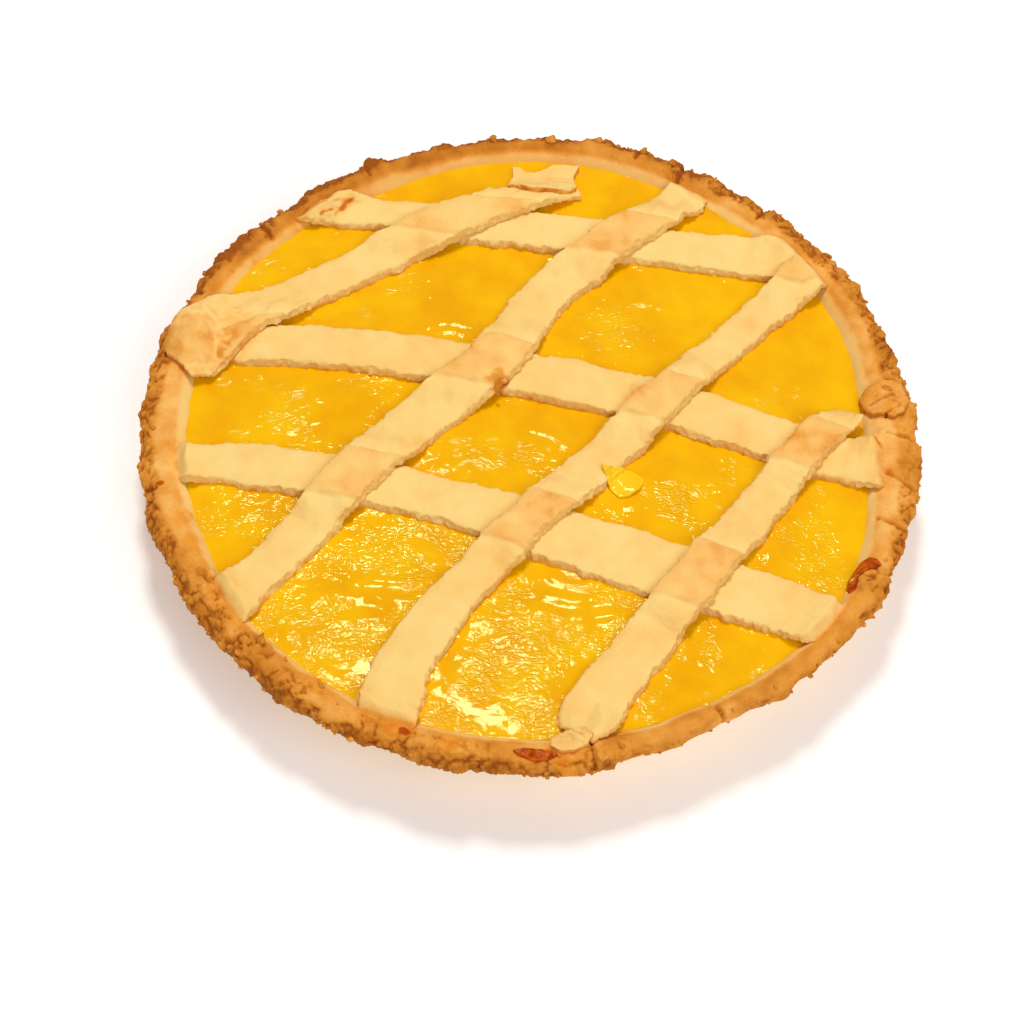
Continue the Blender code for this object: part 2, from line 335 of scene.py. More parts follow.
def shortcrust(name, stops, leak_stops):
    """Shortcrust baked dry: dull, pale where it was shaded, and browned where it stood proud,
    with a sandy grain of flour and butter about half a millimetre across. The browning_and_shade
    attribute that sets its tone also carries painted shade in creases, cracks and low sides."""
    made, tree, shader, place = new_material(
        name, Roughness=0.75, Specular_IOR_Level=0.15, Subsurface_Weight=0.05, Subsurface_Scale=0.003
    )
    shader.inputs["Subsurface Radius"].default_value = (1.0, 0.55, 0.25)
    # Tone from baking, with painted shade in creases, cracks and low sides.
    shade = add(tree, "ShaderNodeAttribute", attribute_name="browning_and_shade").outputs["Fac"]
    patches = noise_of(tree, place, 9.0)
    grain = noise_of(tree, place, 1.1, 4.0, 0.7)
    for spread, source in ((0.26, patches), (0.23, grain)):
        lean = math_of(tree, "MULTIPLY_ADD", source, spread, -0.5 * spread)
        shade = math_of(tree, "ADD", shade, lean)
    colour = add(tree, "ShaderNodeValToRGB", {"Fac": shade}, stops=stops).outputs["Color"]
    leaked = add(tree, "ShaderNodeAttribute", attribute_name="leaked").outputs["Fac"]
    leak = add(tree, "ShaderNodeValToRGB", {"Fac": leaked}, stops=leak_stops).outputs["Color"]
    cover = math_of(tree, "MINIMUM", math_of(tree, "MULTIPLY", leaked, 1.7), 0.92)
    mixed = add(tree, "ShaderNodeMix", {0: cover, 6: colour, 7: leak}, data_type="RGBA")
    tree.links.new(mixed.outputs[2], shader.inputs["Base Color"])
    fine = noise_of(tree, place, 0.6, 5.0, 0.7)
    bump_of(tree, shader, [(grain, 0.42, 0.5), (fine, 0.32, 0.5)])
    return made


def lemon_curd(name, deep, bright):
    """Lemon curd set with egg and butter: dense, a little translucent, and wet glossy, its
    skin drawn into a lace of fine wrinkles about a millimetre across."""
    made, tree, shader, place = new_material(
        name, Roughness=0.05, IOR=1.38, Specular_IOR_Level=0.4, Subsurface_Weight=0.08,
        Subsurface_Scale=0.004,
    )
    shader.inputs["Subsurface Radius"].default_value = (1.0, 0.6, 0.08)
    shader.inputs["Specular Tint"].default_value = (0.95, 0.9, 0.45, 1.0)
    cloud = noise_of(tree, place, 16.0)
    colour = add(tree, "ShaderNodeValToRGB", {"Fac": cloud}, stops=((0.3, deep), (0.68, bright)))
    tree.links.new(colour.outputs["Color"], shader.inputs["Base Color"])
    wrinkled = add(tree, "ShaderNodeAttribute", attribute_name="wrinkled").outputs["Fac"]
    drawn_out = add(tree, "ShaderNodeMapping", {"Vector": place, "Scale": (0.6, 1, 1)})
    lace = noise_of(tree, drawn_out.outputs["Vector"], 2.6, 1.0, 0.5, 2.0)
    ripple = noise_of(tree, place, 6.0, 1.0, 0.5)
    bump_of(tree, shader, [(ripple, 0.35, 1.0), (lace, 0.35, wrinkled)])
    return made


def caramelised_curd(name, dark, bright):
    """Curd that boiled over and baked dark: a brittle, glossy caramel."""
    made, tree, shader, place = new_material(name, Roughness=0.25, Specular_IOR_Level=0.15)
    shader.inputs["Specular Tint"].default_value = (1.0, 0.6, 0.3, 1.0)
    cloud = noise_of(tree, place, 3.0)
    colour = add(tree, "ShaderNodeValToRGB", {"Fac": cloud}, stops=((0.35, dark), (0.65, bright)))
    tree.links.new(colour.outputs["Color"], shader.inputs["Base Color"])
    bump_of(tree, shader, [(cloud, 0.8, 0.5)])
    return made


def made_material(name, make, *values):
    """The material of this name, made on its first use."""
    return bpy.data.materials.get(name) or make(name, *values)


def dough_finish(name):
    """Dough as it browns, with painted shade in its creases and cracks on the same ramp, and the curd
    that leaked onto it, from orange to burnt.
    """
    colours = bpy.context.scene.tart_colours
    stops = (
        (0.0, colours.dough_pale),
        (0.25, colours.dough_gold),
        (0.45, colours.dough_toasted),
        (0.62, colours.crust_gold),
        (0.8, colours.crust_brown),
        (1.0, colours.crust_dark),
    )
    bright, dark = colours.caramel_bright, colours.caramel_dark
    leak_stops = ((0.3, colours.leak_orange), (0.6, bright), (0.95, dark))
    return made_material(name, shortcrust, stops, leak_stops)


def strip_finish():
    """The finish of the strips of dough."""
    return dough_finish("pale_shortcrust_baked")


def crust_finish():
    """The finish of the pastry case."""
    return dough_finish("browned_shortcrust_baked")


def curd_finish():
    """The finish of the lemon curd."""
    colours = bpy.context.scene.tart_colours
    return made_material("lemon_curd_set", lemon_curd, colours.curd_deep, colours.curd_bright)


def flake_finish():
    """The finish of curd that dried thin."""
    colours = bpy.context.scene.tart_colours
    return made_material("lemon_curd_dried", lemon_curd, colours.curd_bright, colours.curd_flake)


def baked_curd_finish():
    """The finish of curd that boiled over."""
    colours = bpy.context.scene.tart_colours
    return made_material(
        "curd_caramelised", caramelised_curd, colours.caramel_dark, colours.caramel_bright
    )


# The crust.

# How many cuts the long bands of the case's section get, by their place along it.
RIM_CUTS = {2: (9,), 1: (4, 5, 8, 10)}

# Cracks in the rim: where they start and end and their width, in mm.
CRACKS = [
    (36, 126, 43, 139, 0.6),
    (81, 100, 90, 112, 0.5),
    (52, 117, 58, 131, 0.9),
    (-96, 82, -104, 90, 0.6),
    (-62, 112, -68, 121, 0.6),
    (-119, 55, -129, 58, 0.7),
    (-126, -30, -136, -33, 0.6),
    (-92, -88, -99, -95, 0.7),
    (22, -122, 24, -133, 0.5),
    (60, -106, 68, -118, 0.6),
    (118, -33, 130, -38, 0.6),
    (124, 2, 134, 0, 0.6),
    (121, -12, 131, -20, 0.5),
    (118, 14, 126, 17, 0.5),
    (122, 20, 128, 18.5, 0.4),
    (123, 9, 128, 12, 0.4),
]

# Spots on the rim's top that crumbled, and spots where it swelled: x, y, radius and how much.
CRUMBLED = [
    (113.5, -59, 6, 0.9),
    (131, -36, 8, 0.9),
    (54, 124, 8, 0.9),
    (-100, 86, 6, 0.6),
    (-36, -125, 6, 0.9),
    (12, -132, 7, 0.7),
    (-20, -131, 6, 0.6),
    (118, -70, 6, 0.6),
    (-104, -70, 9, 0.8),
    (-88, -92, 8, 0.8),
]
SMOOTHED = [
    (132, 2, 16, 1.0),
    (130, -14, 10, 0.8),
    (84, -106, 16, 0.8),
    (62, -120, 14, 0.8),
    (102, -88, 14, 0.7),
    (36, -130, 12, 0.6),
]
SWELLINGS = [(114.5, -58.5, 6, 1.0), (124, -4, 9, 0.5), (54, 124, 7, 0.5), (-40, -122, 4, 0.5)]

# Spots where curd leaked onto the pastry: x, y and radius in mm, and how dark it baked.
LEAKS = [
    (-115, -43, 5, 0.4),
    (-112, -52, 4, 0.35),
    (-65, -103, 6, 0.4),
    (-86, 88, 4, 0.4),
    (-100, 71, 4, 0.35),
    (-37, -122, 2.6, 0.85),
    (-41, -121, 4, 0.45),
    (-125, -29, 1.8, 0.85),
    (108, -66, 3, 0.35),
    (118, -66, 3, 0.4),
    (-22, -126, 4, 0.4),
    (14, -131, 3, 0.45),
]
LEAKED_LINES = [
    (-79, 93, -72, 96, 0.5),
    (-74, 94, -68, 100, 0.9),
    (-83, 97, -77, 97, 0.4),
    (118, -1, 121, -5, 0.5),
]


def quads_of_turned_case(piece):
    """Takes out the diagonals that cut the case's turned quads in two, cuts the bands of the
    rim finer, halves the steps round it, and takes out its two flat faces."""
    mesh = piece.data
    steps = sum(v.co.z < UNDERSIDE for v in mesh.vertices)
    turn = 2 * math.pi / steps
    column = [round(math.atan2(v.co.y, v.co.x) / turn) % steps for v in mesh.vertices]
    beside = [[] for _ in mesh.vertices]
    for edge in mesh.edges:
        a, b = edge.vertices
        if column[a] == column[b]:
            beside[a].append(b)
            beside[b].append(a)
    row = [0] * len(mesh.vertices)
    for vert in mesh.vertices:
        if len(beside[vert.index]) > 1 or vert.co.z < UNDERSIDE:
            continue
        before, here, count = None, vert.index, 0
        while here is not None:
            row[here] = count
            onward = [n for n in beside[here] if n != before]
            before, here, count = here, (onward[0] if onward else None), count + 1

    def kind(edge):
        a, b = edge.vertices
        apart = (column[a] - column[b]) % steps
        if row[a] == row[b] and apart in (1, steps - 1):
            return "round"
        return "along" if apart == 0 and abs(row[a] - row[b]) == 1 else "diagonal"

    def pick_edges(wanted):
        edit(piece, "EDGE")
        leave_edit()
        for edge in mesh.edges:
            edge.select = wanted(edge)
        bpy.ops.object.mode_set(mode="EDIT")

    pick_edges(lambda edge: kind(edge) == "diagonal")
    bpy.ops.mesh.dissolve_edges(use_verts=False)
    leave_edit()
    for cuts, bands in RIM_CUTS.items():
        known = len(row)
        pick_edges(
            lambda edge: max(edge.vertices) < known
            and kind(edge) == "along"
            and min(row[i] for i in edge.vertices) in bands
        )
        bpy.ops.mesh.subdivide(number_cuts=cuts)
        leave_edit()

    def goes_round(edge):
        a, b = (mesh.vertices[i].co for i in edge.vertices)
        return a.xy.angle(b.xy) > turn / 2

    pick_edges(goes_round)
    bpy.ops.mesh.subdivide(number_cuts=1)
    leave_edit()
    edit(piece, "FACE")
    bpy.ops.mesh.select_face_by_sides(number=4, type="GREATER")
    bpy.ops.mesh.delete(type="FACE")
    leave_edit()


def line_share(lines, place):
    """1 in the middle of some lines, and 0 beside them: each from one x and y to another, and
    its width, in mm."""
    depth = 0.0
    for x0, y0, x1, y1, width in lines:
        along = Vector((x1 - x0, y1 - y0))
        share = (Vector((place.x - x0, place.y - y0)).dot(along)) / along.length_squared
        if not -0.2 < share < 1.2:
            continue
        share = min(max(share, 0.0), 1.0)
        off = Vector((place.x - x0 - share * along.x, place.y - y0 - share * along.y)).length
        off += 0.5 * lumps(place, 2.5, 3.0)
        depth = max(depth, math.exp(-(off * off) / (width * width)))
    return depth


def rim_shade(place, across):
    """How browned the rim's top is, by how far across it a place is in mm, away from the curd."""
    shade = 0.54 + 0.18 * smooth((place.y - 10) / 80) + 0.1 * smooth((-place.y - 30) / 60)
    shade += 0.08 * smooth((across - 8) / 6)
    shade += 0.12 * smooth((place.y - 40) / 60) * smooth((30 - place.x) / 60)
    shade += 0.05 * smooth((-place.y - 50) / 30) * smooth((place.x - 20) / 30)
    shade -= 0.12 * smooth((place.y - 20) / 60) * smooth((place.x - 50) / 40)
    shade += 0.10 * lumps(place, 15, 8.0) + 0.06 * lumps(place, 4, 9.0)
    return shade - 0.44 * smooth((4.2 - across) / 3.2)


def crust_rule(place, normal):
    """Baked pastry: crumbly and brown at its outer edge, smoother and paler on its inner side, and darker
    with painted shade in its creases, cracks and the gaps between crumbs.
    """
    shape = bpy.context.scene.tart_shape
    radius = math.hypot(place.x, place.y)
    across = radius - wall_radius(place)
    out = Vector((place.x, place.y, 0)) / max(radius, 1.0)
    facing = normal.dot(out)
    high = smooth((place.z - 4) / 10)
    inward = 9.5 - 3 * smooth(place.y / 60)
    edge_band = smooth((across - inward + 1.5 * lumps(place, 7, 6.0)) / 3) * high
    near_left = smooth((-place.y - 50) / 40) * smooth((45 - place.x) / 40)
    broken = smooth(0.4 + 1.6 * lumps(place, 13, 3.0))
    rough = edge_band * (1 - 0.75 * spot_share(SMOOTHED, place))
    rough = max(rough, near_left * broken * smooth((across - 3) / 4) * high)
    rough = max(rough, 0.9 * smooth(1.5 * spot_share(CRUMBLED, place)) * high)
    crag = crags(place, 4.2, 1.0)
    lift, edge = chunk(place, 1.9, 5.0)
    crease = smooth((0.42 - crag) / 0.34)
    push = rough * (1.6 * (crag - 0.45) + 0.45 * lift - 0.3 * (1 - edge))
    push *= shape.crumb_depth / MM
    push += 1.6 * spot_share(SWELLINGS, place) * smooth((place.z - 20) / 6)
    ledge = smooth(0.5 + 2.5 * lumps(out * 135, 17, 7.0)) - 0.5
    push += 1.3 * ledge * smooth((facing + 0.2) / 0.6) * high
    push += 0.35 * lumps(place, 10, 2.0) * high + 0.12 * lumps(place, 2.4, 4.0) * high
    crack = line_share(CRACKS, place) if place.z > 22 else 0.0
    push -= 1.7 * crack
    shade = rim_shade(place, across) + 0.1 * edge_band
    # Painted shade and light: darker in the creases and the gaps between crumbs, lighter on the raised
    # crumbs.
    shade += rough * (0.34 * crease + 0.08 * (1 - edge) - 0.06 * lift)
    # Painted shade darkens the cracks; the very bottom is paler.
    shade += 0.3 * crack - 0.35 * smooth((3.5 - place.z) / 3)
    if place.z < 1.0:
        push = 0.0
    return place + normal * push, shade, spot_share(LEAKS, place) * smooth((place.z - 20) / 6)


class TART_OT_crust(bpy.types.Operator):
    """Model the pastry case with its crumbly rim"""

    bl_idname = "tart.crust"
    bl_label = "Crust"
    bl_options = {"REGISTER", "UNDO"}

    def execute(self, context):
        piece = copy_node("crust", "tart_crust")
        quads_of_turned_case(piece)
        modify(piece, "SUBSURF", levels=2, render_levels=2)
        sculpt(piece, crust_rule)
        edit(piece)
        bpy.ops.mesh.select_all(action="SELECT")
        bpy.ops.mesh.fill_holes(sides=0)
        leave_edit()
        finish_piece(piece, crust_finish(), ["crust"])
        return {"FINISHED"}


# The curd.

# Strokes that a spoon left in the curd: middle x and y, radius, start and end angle in
# degrees, height and width, in mm.
CURD_STROKES = [
    (-29, 33, 11.0, 30, 150, 0.35, 1.0),
    (-29, 33, 15.5, 35, 140, 0.30, 1.0),
    (38, 47, 13.0, 25, 120, 0.30, 0.9),
    (18, -38, 24.0, -125, -40, 0.45, 1.8),
    (18, -36, 32.0, -120, -50, 0.55, 2.2),
    (16, -34, 41.0, -115, -60, 0.50, 2.4),
    (-48, -30, 33.0, -120, -60, 0.40, 1.8),
    (-48, -30, 41.0, -118, -66, 0.45, 2.0),
    (-48, -30, 49.0, -112, -70, 0.40, 2.0),
    (-2, -18, 20.0, 20, 95, 0.35, 1.2),
    (50, -22, 19.0, -130, -30, 0.35, 1.4),
    (95, -48, 14.0, 100, 200, 0.30, 1.4),
]


def stroke_height(place):
    """The height of the spoon's strokes at a place."""
    height = 0.0
    for x, y, radius, start, end, rise, width in CURD_STROKES:
        dx, dy = place.x - x, place.y - y
        off = (math.hypot(dx, dy) - radius - 1.2 * lumps(place, 14, 6.0)) / width
        if abs(off) > 2.5:
            continue
        angle = math.degrees(math.atan2(dy, dx))
        span = (end - start) / 2
        along = abs((angle - (start + end) / 2 + 180) % 360 - 180) / span
        height += rise * math.exp(-off * off) * smooth(2.5 * (1 - along))
    return height


CURD_TAPER = 0.93        # how wide the curd's hidden underside is, as a share of its top

# Spots away from the front where the curd's skin wrinkled too: x, y and radius in mm, and how
# much.
WRINKLED = [
    (29, 48, 15, 0.7),
    (86, 18, 13, 0.7),
]


def wrinkle_share(place):
    """How wrinkled the curd's skin is at a place: most of all at the front, in patches."""
    near = max(smooth((-place.y + 5) / 55), 0.45 * smooth((-place.x - 25) / 40))
    patch = smooth(0.1 + 0.55 * near + 1.7 * lumps(place, 15, 7.0))
    return max(patch * (0.3 + 0.7 * near), spot_share(WRINKLED, place)) + 0.09


def curd_height(place, near_strip, near_wall):
    """The height of the curd's skin, in mm: ripples, wrinkles and a rise at the pastry."""
    shape = bpy.context.scene.tart_shape
    flat = Vector((place.x, place.y, 0))
    bent = flat + Vector((lumps(flat, 9, 1.0), lumps(flat, 9, 2.0), 0)) * 1.6
    creases = 1 - abs(lumps(Vector((bent.x / 1.3, bent.y, 0)), 3.2, 3.0))
    creases += 0.6 * (1 - abs(lumps(bent, 1.9, 5.0)))
    height = CURD_TOP + 0.3 * lumps(flat, 26, 9.0) + 0.16 * lumps(flat, 8, 10.0)
    height += wrinkle_share(flat) * (creases - 0.9) * shape.wrinkle_height / MM
    height += stroke_height(place)
    height += 0.2 * dot_depth(flat, 5.0, 1.0, 4.0)
    return height + 0.12 * math.exp(-near_strip / 1.5) + 0.15 * math.exp(-near_wall / 1.6)


class TART_OT_curd(bpy.types.Operator):
    """Model the lemon curd, with the strokes and wrinkles of its skin"""

    bl_idname = "tart.curd"
    bl_label = "Lemon curd"
    bl_options = {"REGISTER", "UNDO"}

    def execute(self, context):
        shape = context.scene.tart_shape
        cells = shape.curd_cells
        bpy.ops.object.select_all(action="DESELECT")
        bpy.ops.mesh.primitive_grid_add(
            x_subdivisions=cells, y_subdivisions=cells, size=2, location=(0, 0, 0)
        )
        piece = context.active_object
        piece.name = "tart_curd"
        pastry = plan_tree([*LOWER_STRIPS, *UPPER_STRIPS])
        wrinkled = []
        for vert in piece.data.vertices:
            u, v = vert.co.xy
            x, y = u * math.sqrt(1 - v * v / 2), v * math.sqrt(1 - u * u / 2)
            vert.co.xy = x, y
            wall = wall_radius(vert.co)
            place = Vector((x, y, 0)) * (wall + shape.curd_overlap / MM)
            near_wall = max(wall - place.length, 0.0)
            wrinkled.append(wrinkle_share(place))
            near_strip = plan_distance(pastry, place, CURD_REACH)
            place.z = curd_height(place, near_strip, near_wall)
            vert.co = place * MM
        paint(piece, "wrinkled", wrinkled)
        edit(piece, "EDGE")
        bpy.ops.mesh.select_non_manifold()
        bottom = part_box("curd")[0].z
        bpy.ops.mesh.extrude_edges_move()
        bpy.ops.transform.resize(value=(CURD_TAPER, CURD_TAPER, 0), center_override=(0, 0, bottom))
        bpy.ops.mesh.edge_face_add()
        bpy.ops.mesh.select_all(action="SELECT")
        bpy.ops.mesh.normals_make_consistent(inside=False)
        leave_edit()
        finish_piece(piece, curd_finish(), ["curd"])
        return {"FINISHED"}


# The dough strips.

STRIP_SINK = 0.6         # how deep the strips settle, in mm
MELT_SINK = 0.7          # how deep their ends lie in the rim, in mm
MELT_WIDTH = 6           # the stretch of a strip over which it melts into the rim, in mm

# How browned each strip is on the whole, how much browner it is where it lies over another, and
# how far out across the rim it melts into it, in mm.
STRIP_LOOKS = {
    "lower_strip_1": (0.06, 0.0, 6.5),
    "lower_strip_2": (0.17, 0.0, 8.0),
    "lower_strip_3": (0.1, 0.0, 5.0),
    "upper_strip_1": (0.13, 0.1, 16.0),
    "upper_strip_2": (0.12, 0.19, 5.8),
    "upper_strip_3": (0.13, 0.2, 6.5),
    "upper_strip_4": (0.18, 0.21, 9.0),
}

# Spots where a strip baked browner: x, y and radius in mm, and how much browner.
TOASTED = [
    (-121, 29, 17, 0.4),
    (-104, 38, 9, 0.32),
    (-12, 18, 5, 0.5),
    (38, 16, 6, 0.32),
    (122, -2, 12, 0.12),
]


def ragged_rule(seed):
    """Moves a strip's cut edges in and out, as a knife leaves crumbly dough."""
    reach = bpy.context.scene.tart_shape.ragged_depth / MM

    def rule(place, normal):
        flat = Vector((place.x, place.y, 0.6 * place.z))
        ragged = 0.6 * lumps(flat, 3.0, seed) + 0.5 * lumps(flat, 1.5, seed + 1)
        ragged += 0.5 * lumps(flat, 9, seed + 2)
        side = Vector((normal.x, normal.y, 0))
        weight = smooth((0.96 - abs(normal.z)) / 0.3) * (0.45 + 0.75 * smooth(0.5 + lumps(flat, 11, 9.0)))
        if side.length > 0.001:
            place = place + side.normalized() * ragged * weight * reach
        return place, 0.0, 0.0

    return rule


def strip_rule(node, crossings, crust, seed):
    """The rule for one strip: crumbly sides, darker low down with painted shade and some browning, a
    floury top with pores, browned where high, and settled into the curd, onto the strip below it and into
    the rim."""
    tone, crossed_tone, rim_end = STRIP_LOOKS[node]

    def rule(place, normal):
        radius = math.hypot(place.x, place.y)
        across = radius - wall_radius(place)
        up = smooth(2.2 * normal.z - 0.6)
        side = smooth(1.5 - 1.8 * abs(normal.z))
        lift, edge = chunk(place, 1.8, seed)
        push = side * (0.3 * lift - 0.2 * (1 - edge) + 0.3 * lumps(place, 1.3, seed + 10))
        push += up * (0.2 * lumps(place, 8, seed + 3) + 0.06 * lumps(place, 1.8, seed + 4))
        push -= up * 0.4 * dot_depth(place, 10, 0.6, seed + 5)
        moved = place + normal * push
        crossed, dip = 0.0, 0.0
        moved.z -= STRIP_SINK
        if crossings:
            away = plan_distance(crossings, place, STRIP_REACH)
            dip = smooth((away - 0.2) / 1.6) * (1 - smooth((away - 1.6) / 6))
            moved.z -= 0.75 * (1 - smooth(away / STRIP_REACH)) + 0.9 * dip
            crossed = 1 - smooth((away - 0.4 + 0.6 * lumps(place, 4, seed + 9)) / 1.3)
        past = across - rim_end + MELT_WIDTH
        if past > 0:
            ground = crust.ray_cast(Vector((moved.x, moved.y, ABOVE)), DOWN)[0]
            if ground:
                melted = smooth((past + 0.8 * lumps(place, 5, 3.0)) / MELT_WIDTH)
                moved.z += melted * (ground.z - MELT_SINK - moved.z)
        height = place.z - CURD_TOP
        high = smooth((height - 5.9 + 0.7 * lumps(place, 6, seed + 8)) / 1.5)
        shade = tone + (0.06 * high - 0.13 * dip * (1 - crossed)) * up
        shade += 0.13 * lumps(place, 16, seed + 6) + 0.09 * lumps(place, 5, seed + 7)
        # Cut sides darker, most of all low down by the curd: partly browning, partly painted shade where
        # the strip meets the curd.
        shade += side * (0.05 + 0.3 * smooth((3.4 - height) / 2.4)) * (0.7 + 0.5 * lift)
        shade += max(crossed_tone * crossed * up, spot_share(TOASTED, place))
        ends = smooth((past + 1.5 + 1.5 * lumps(place, 8, 2.0)) / MELT_WIDTH)
        shade += ends * (rim_shade(place, across) - shade)
        leak = max(spot_share(LEAKS, place), 0.6 * line_share(LEAKED_LINES, place))
        return moved, shade, leak

    return rule


def dress_strip(node, crossings, crust, seed):
    """Makes a strip of its solid: finely meshed, its cut edges torn, then shaped by its rule."""
    piece = copy_node(node, "tart_" + node)
    shape = bpy.context.scene.tart_shape
    modify(piece, "REMESH", mode="VOXEL", voxel_size=shape.strip_mesh)
    sculpt(piece, ragged_rule(seed))
    modify(piece, "SMOOTH", factor=0.5, iterations=4)
    sculpt(piece, strip_rule(node, crossings, crust, seed))
    finish_piece(piece, strip_finish(), [node])


class TART_OT_strips(bpy.types.Operator):
    """Model the strips of dough: three below, running across, and four laid over them"""

    bl_idname = "tart.strips"
    bl_label = "Dough strips"
    bl_options = {"REGISTER", "UNDO"}

    def execute(self, context):
        below = plan_tree(LOWER_STRIPS)
        crust = surface_tree([bpy.data.objects["tart_crust"]])
        for k, node in enumerate(LOWER_STRIPS):
            dress_strip(node, None, crust, 11.0 * k)
        for k, node in enumerate(UPPER_STRIPS):
            dress_strip(node, below, crust, 40 + 11.0 * k)
        return {"FINISHED"}


# The scraps.

# Outlines of the loose pieces, seen from above, in mm.
PATCH = [
    (-9.7, 122.1), (-6.9, 121.8), (-4.6, 119.4), (-1.2, 119.2), (2.7, 121.5), (5.1, 123.3),
    (9.9, 123.6), (15.5, 123.3), (14.3, 120.2), (13.2, 117.4), (14.4, 111.5), (12.4, 108.7),
    (4.6, 106.5), (-3.1, 106.2), (-6.5, 108.3), (-11.6, 110.0), (-10.6, 113.3), (-9.5, 117.1),
]
KNOB = [
    (9.4, -121.5), (12.0, -119.6), (16.5, -118.6), (21.0, -118.8), (23.2, -121.4), (21.6, -124.6),
    (17.0, -127.2), (12.5, -127.8), (9.2, -125.6),
]
RIM_SCRAP = [
    (114.9, 17.9), (116.7, 20.8), (121.8, 23.2), (126.4, 24.2), (130.1, 21.3), (131.0, 15.5),
    (129.6, 10.2), (125.4, 7.5), (122.0, 9.4), (118.4, 9.2), (115.4, 13.4),
]
FLAKE = [
    (24.2, -15.6), (27.0, -16.4), (31.0, -14.6), (35.4, -14.9), (39.8, -18.4), (38.0, -22.6),
    (34.2, -25.6), (31.0, -26.0), (28.2, -23.4), (26.0, -19.0),
]
CRESCENT = [
    (118.0, -53.7), (116.8, -50.9), (114.2, -49.6), (111.4, -50.6), (109.1, -54.0), (107.1, -57.6),
    (106.4, -60.6), (107.1, -63.4), (109.4, -62.2), (109.9, -59.0), (111.4, -56.8), (113.2, -55.7),
    (115.6, -55.8),
]
SLIT = [
    (-2.6, -127.8), (1.4, -127.0), (5.0, -127.0), (9.0, -127.4), (12.0, -128.2), (9.8, -129.8),
    (7.4, -131.2), (4.6, -131.6), (1.8, -130.6), (-0.8, -129.4),
]


def height_below(tree, x, y, stiffness):
    """The mean height of a tree's surface round a place, over a width in mm."""
    spots = [(0, 0), (stiffness, 0), (-stiffness, 0), (0, stiffness), (0, -stiffness)]
    hits = [tree.ray_cast(Vector((x + dx, y + dy, ABOVE)), DOWN)[0] for dx, dy in spots]
    heights = [hit.z for hit in hits if hit]
    return sum(heights) / len(heights)


def laid_piece(name, outline, tree, thickness, sink, stiffness, mesh_size=0.0004, rounds=6):
    """A piece cut to an outline and laid over what is below it, pressed in by sink mm."""
    bpy.ops.object.select_all(action="DESELECT")
    bpy.ops.mesh.primitive_circle_add(vertices=len(outline), radius=1, fill_type="NGON")
    piece = bpy.context.active_object
    piece.name = name
    for vert, (x, y) in zip(piece.data.vertices, outline):
        vert.co = (x * MM, y * MM, 0)
    edit(piece, "FACE")
    bpy.ops.mesh.select_all(action="SELECT")
    bpy.ops.mesh.extrude_region_move(TRANSFORM_OT_translate={"value": (0, 0, thickness * MM)})
    bpy.ops.mesh.select_all(action="SELECT")
    bpy.ops.mesh.normals_make_consistent(inside=False)
    leave_edit()
    modify(piece, "REMESH", mode="VOXEL", voxel_size=mesh_size)
    modify(piece, "SMOOTH", factor=0.5, iterations=rounds)
    for vert in piece.data.vertices:
        below = height_below(tree, vert.co.x / MM, vert.co.y / MM, stiffness)
        vert.co.z += (below - sink) * MM
    return piece


def scrap_rule(seed, relief, tone, low_tone, low):
    """The rule for a scrap: creased, with painted shade in its creases and cracks, of one tone on top and
    browner below a height in mm.
    """

    def rule(place, normal):
        crag = crags(place, 8.0, seed)
        fine = chunk(place, 1.6, seed + 1)[0]
        side = smooth(1.5 - 1.8 * abs(normal.z))
        push = relief * (0.35 * lumps(place, 6, seed) + 0.8 * (crag - 0.45))
        push += relief * (0.05 + 0.2 * side) * fine
        crack = line_share(CRACKS, place)
        push -= crack
        # Painted shade: darker in the cracks here and in the creases below.
        shade = tone + 0.1 * lumps(place, 5, seed + 2) + 0.25 * crack
        shade += relief * 0.2 * smooth((0.3 - crag) / 0.3)
        shade += side * low_tone * smooth((low - place.z) / 1.5) * (0.8 + 0.4 * fine)
        return place + normal * push, shade, 0.0

    return rule


class TART_OT_scraps(bpy.types.Operator):
    """Model the loose scraps of dough on the lattice and the rim"""

    bl_idname = "tart.scraps"
    bl_label = "Dough scraps"
    bl_options = {"REGISTER", "UNDO"}

    def execute(self, context):
        below = surface_tree([o for o in bpy.data.objects if o.name.startswith("tart_")])
        patch = laid_piece(
            "tart_strip_patch", PATCH, below, thickness=3.4, sink=0.6, stiffness=3.0, rounds=4
        )
        sculpt(patch, scrap_rule(3, relief=0.5, tone=0.2, low_tone=0.5, low=35))
        finish_piece(patch, strip_finish(), ["strip_patch"])
        knob = laid_piece(
            "tart_strip_end_knob", KNOB, below, thickness=2.8, sink=1.0, stiffness=3.0, rounds=8
        )
        sculpt(knob, scrap_rule(5, relief=0.35, tone=0.32, low_tone=0.2, low=34))
        finish_piece(knob, strip_finish(), ["strip_end_knob"])
        scrap = laid_piece(
            "tart_rim_scrap", RIM_SCRAP, below, thickness=3.4, sink=0.9, stiffness=2.5, rounds=8
        )
        sculpt(scrap, scrap_rule(7, relief=1.1, tone=0.6, low_tone=0.2, low=33))
        finish_piece(scrap, crust_finish(), ["rim_scrap"])
        return {"FINISHED"}


def flake_rule(place, normal):
    """A torn flake of curd with a few folds along it."""
    along = Vector((0.82, -0.57, 0))
    off = place.dot(Vector((0.57, 0.82, 0)))
    fold = 0.4 * math.sin(0.7 * off + 0.9 * lumps(place, 7, 2.0))
    lifted = 0.8 * smooth((27.5 - place.dot(along) * 0.82) / 5)
    return place + Vector((0, 0, fold + lifted)), 0.0, 0.0


